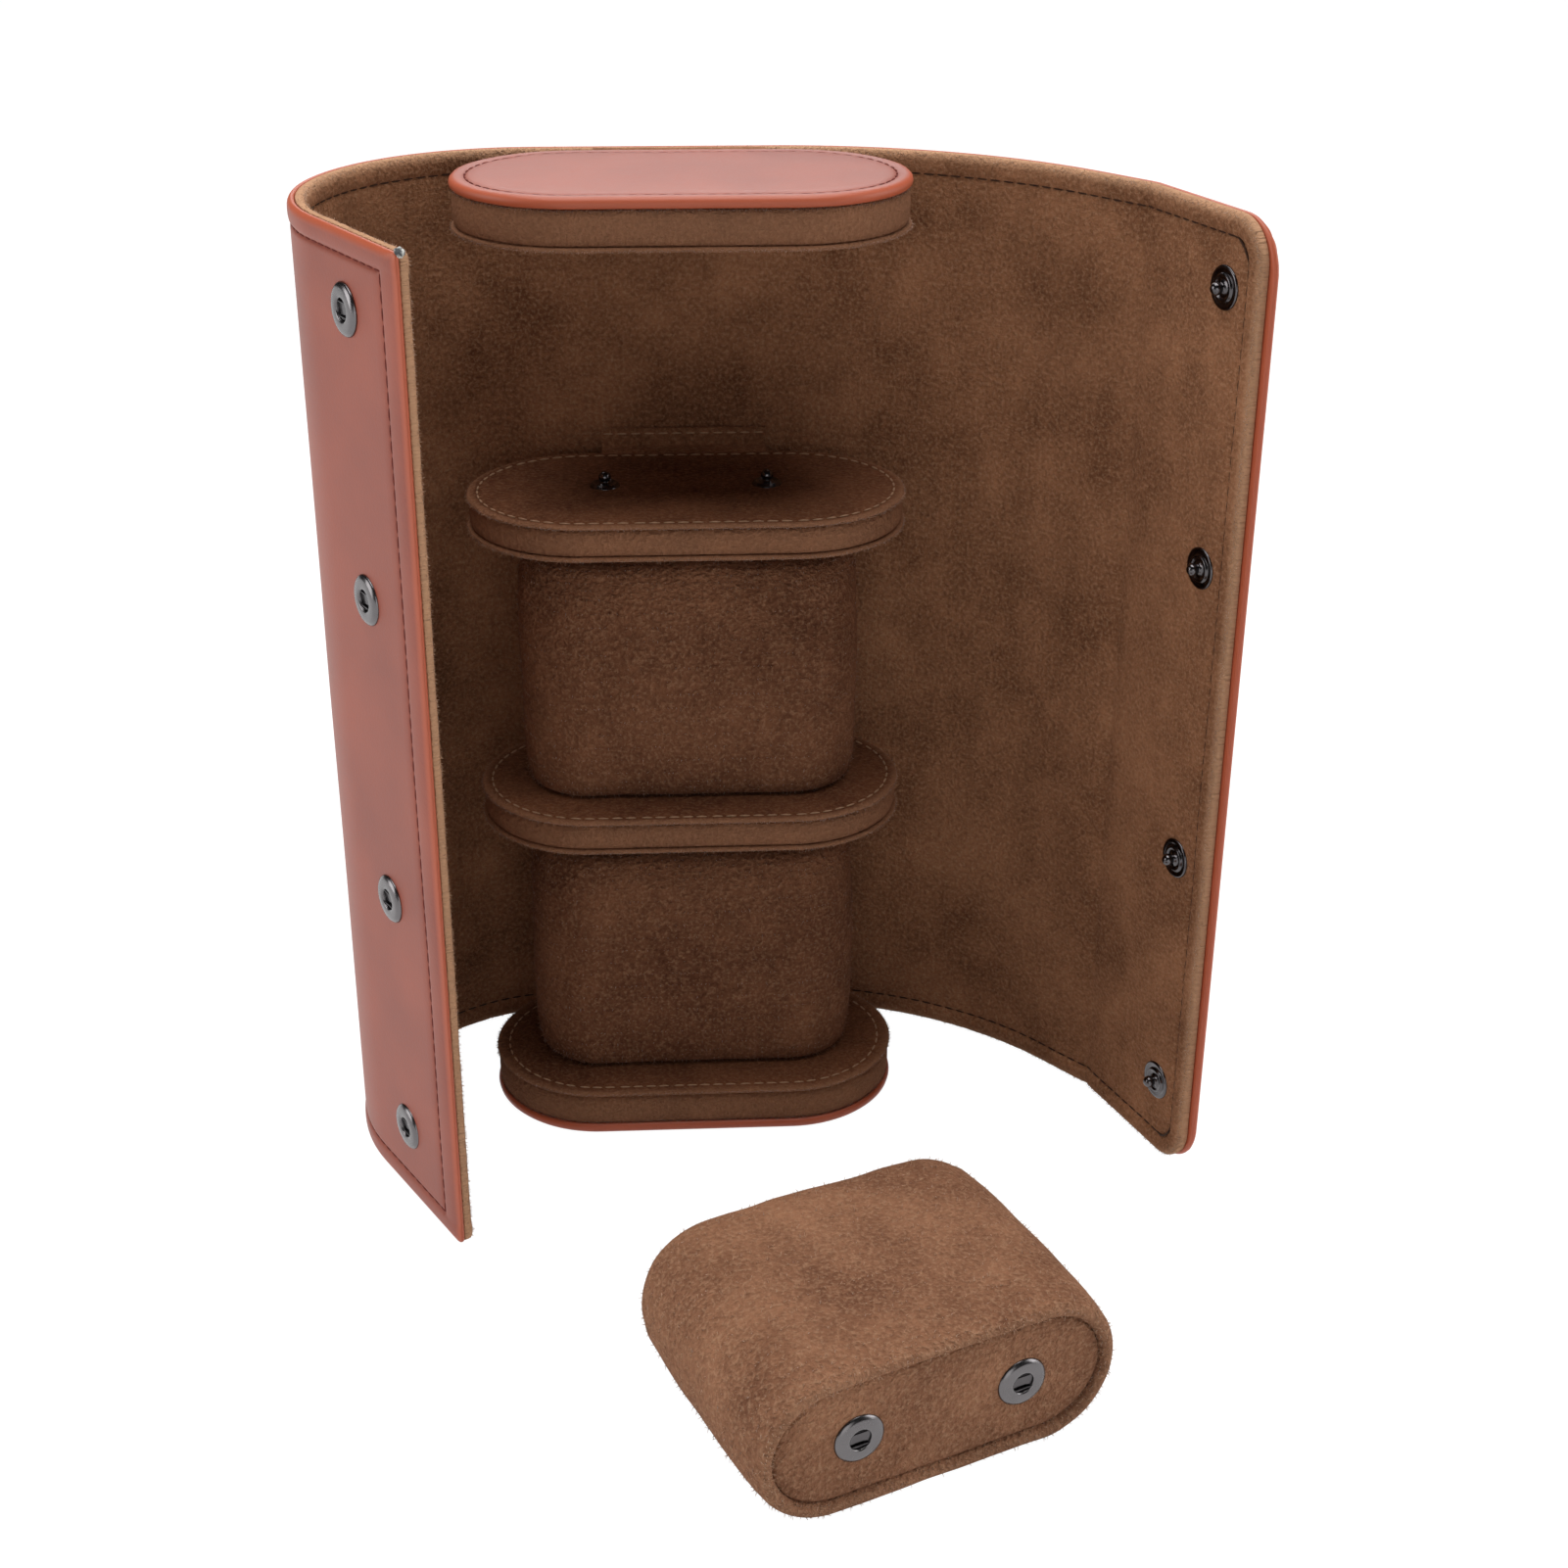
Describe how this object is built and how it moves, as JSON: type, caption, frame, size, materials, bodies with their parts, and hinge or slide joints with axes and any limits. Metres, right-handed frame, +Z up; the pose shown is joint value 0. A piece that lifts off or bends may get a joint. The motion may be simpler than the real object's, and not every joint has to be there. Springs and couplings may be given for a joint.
{
  "type": "watch roll",
  "caption": "Soft watch roll standing on its end cap, its leather wrap open in a C round stacked discs that carry watch cushions on press studs.",
  "frame": {"origin": "middle of the bottom cap's underside, on the surface it stands on", "axes": "+Z up along the standing roll, +Y towards the back of the wrap, -Y towards the open front, +X towards the wider snap flap side"},
  "size_m": [0.1902, 0.1914, 0.216],
  "materials": {
    "tan_leather": "smooth fine-grain leather with a soft sheen",
    "brown_suede": "brushed suede",
    "cushion_suede": "plush suede with a mottled nap",
    "greyboard": "plain pressed board",
    "foam": "soft filling",
    "dark_snap_metal": "dark plated, polished",
    "spring_wire": "bright wire"
  },
  "bodies": {
    "back": {"spine_leather": "tan_leather", "spine_board": "greyboard", "spine_lining": "brown_suede", "bottom_cap_top_face": "brown_suede", "bottom_cap_base_face": "tan_leather", "bottom_cap_band": "brown_suede", "bottom_cap_core": "greyboard", "bottom_cap_studs": "dark_snap_metal", "sewn_tabs": "brown_suede"},
    "left_wing_1": {"left_wing_1_leather": "tan_leather", "left_wing_1_board": "greyboard", "left_wing_1_lining": "brown_suede"},
    "left_wing_2": {"left_wing_2_leather": "tan_leather", "left_wing_2_board": "greyboard", "left_wing_2_lining": "brown_suede"},
    "left_front": {"left_front_leather": "tan_leather", "left_front_board": "greyboard", "left_front_lining": "brown_suede", "edge_sockets": "dark_snap_metal", "edge_socket_springs": "spring_wire"},
    "right_wing_1": {"right_wing_1_leather": "tan_leather", "right_wing_1_board": "greyboard", "right_wing_1_lining": "brown_suede"},
    "right_wing_2": {"right_wing_2_leather": "tan_leather", "right_wing_2_board": "greyboard", "right_wing_2_lining": "brown_suede"},
    "right_wing_3": {"right_wing_3_leather": "tan_leather", "right_wing_3_board": "greyboard", "right_wing_3_lining": "brown_suede"},
    "snap_flap": {"snap_flap_leather": "tan_leather", "snap_flap_board": "greyboard", "snap_flap_lining": "brown_suede", "flap_studs": "dark_snap_metal"},
    "top_cap": {"top_cap_top_face": "tan_leather", "top_cap_base_face": "brown_suede", "top_cap_band": "brown_suede", "top_cap_core": "greyboard"},
    "upper_divider": {"upper_divider_top_face": "brown_suede", "upper_divider_base_face": "brown_suede", "upper_divider_band": "brown_suede", "upper_divider_core": "greyboard", "upper_divider_studs": "dark_snap_metal"},
    "lower_divider": {"lower_divider_top_face": "brown_suede", "lower_divider_base_face": "brown_suede", "lower_divider_band": "brown_suede", "lower_divider_core": "greyboard", "lower_divider_studs": "dark_snap_metal"},
    "lower_cushion": {"lower_cushion_cover": "cushion_suede", "lower_cushion_core": "foam", "lower_cushion_end_panel": "cushion_suede", "lower_cushion_sockets": "dark_snap_metal"},
    "middle_cushion": {"middle_cushion_cover": "cushion_suede", "middle_cushion_core": "foam", "middle_cushion_end_panel": "cushion_suede", "middle_cushion_sockets": "dark_snap_metal"},
    "loose_cushion": {"loose_cushion_cover": "cushion_suede", "loose_cushion_core": "foam", "loose_cushion_end_panel": "cushion_suede", "loose_cushion_sockets": "dark_snap_metal"}
  },
  "joints": [
    {"name": "left_fold_1", "type": "hinge", "parent": "back", "child": "left_wing_1", "pos_m": [-0.029, 0.0331, 0.1075], "axis": [0, 0, -1], "range_deg": [-33, 30]},
    {"name": "left_fold_2", "type": "hinge", "parent": "left_wing_1", "child": "left_wing_2", "pos_m": [-0.05895, 0.02388, 0.1075], "axis": [0, 0, -1], "range_deg": [-9.9, 9]},
    {"name": "left_fold_3", "type": "hinge", "parent": "left_wing_2", "child": "left_front", "pos_m": [-0.07525, -0.00283, 0.1075], "axis": [0, 0, -1], "range_deg": [-20.59, 18.72]},
    {"name": "right_fold_1", "type": "hinge", "parent": "back", "child": "right_wing_1", "pos_m": [0.02898, 0.03263, 0.1075], "axis": [0, 0, 1], "range_deg": [-29.65, 20]},
    {"name": "right_fold_2", "type": "hinge", "parent": "right_wing_1", "child": "right_wing_2", "pos_m": [0.05677, 0.02484, 0.1075], "axis": [0, 0, 1], "range_deg": [-29.65, 20]},
    {"name": "right_fold_3", "type": "hinge", "parent": "right_wing_2", "child": "right_wing_3", "pos_m": [0.08042, 0.0083, 0.1075], "axis": [0, 0, 1], "range_deg": [-29.65, 20]},
    {"name": "flap_crease", "type": "hinge", "parent": "right_wing_3", "child": "snap_flap", "pos_m": [0.09549, -0.00907, 0.1075], "axis": [0, 0, 1], "range_deg": [-18.89, 60]},
    {"name": "top_cap_tilt", "type": "hinge", "parent": "back", "child": "top_cap", "pos_m": [0, 0.02515, 0.216], "axis": [-1, 0, 0], "range_deg": [-12, 100]},
    {"name": "upper_divider_tilt", "type": "hinge", "parent": "back", "child": "upper_divider", "pos_m": [0, 0.02515, 0.149], "axis": [-1, 0, 0], "range_deg": [-6, 85]},
    {"name": "lower_divider_tilt", "type": "hinge", "parent": "back", "child": "lower_divider", "pos_m": [0, 0.02515, 0.081], "axis": [-1, 0, 0], "range_deg": [-8, 6]},
    {"name": "lower_cushion_lift", "type": "slide", "parent": "back", "child": "lower_cushion", "axis": [0, 0, 1], "range_m": [0, 0.0045]},
    {"name": "middle_cushion_lift", "type": "slide", "parent": "lower_divider", "child": "middle_cushion", "axis": [0, 0, 1], "range_m": [0, 0.0045]},
    {"name": "loose_cushion_lift", "type": "slide", "parent": "back", "child": "loose_cushion", "axis": [0, 0, 1], "range_m": [0, 0.06]}
  ],
  "couplings": [
    {"joint": "left_fold_2", "follows": "left_fold_1", "ratio": 0.3},
    {"joint": "left_fold_3", "follows": "left_fold_1", "ratio": 0.624},
    {"joint": "right_fold_2", "follows": "right_fold_1", "ratio": 1},
    {"joint": "right_fold_3", "follows": "right_fold_1", "ratio": 1}
  ]
}
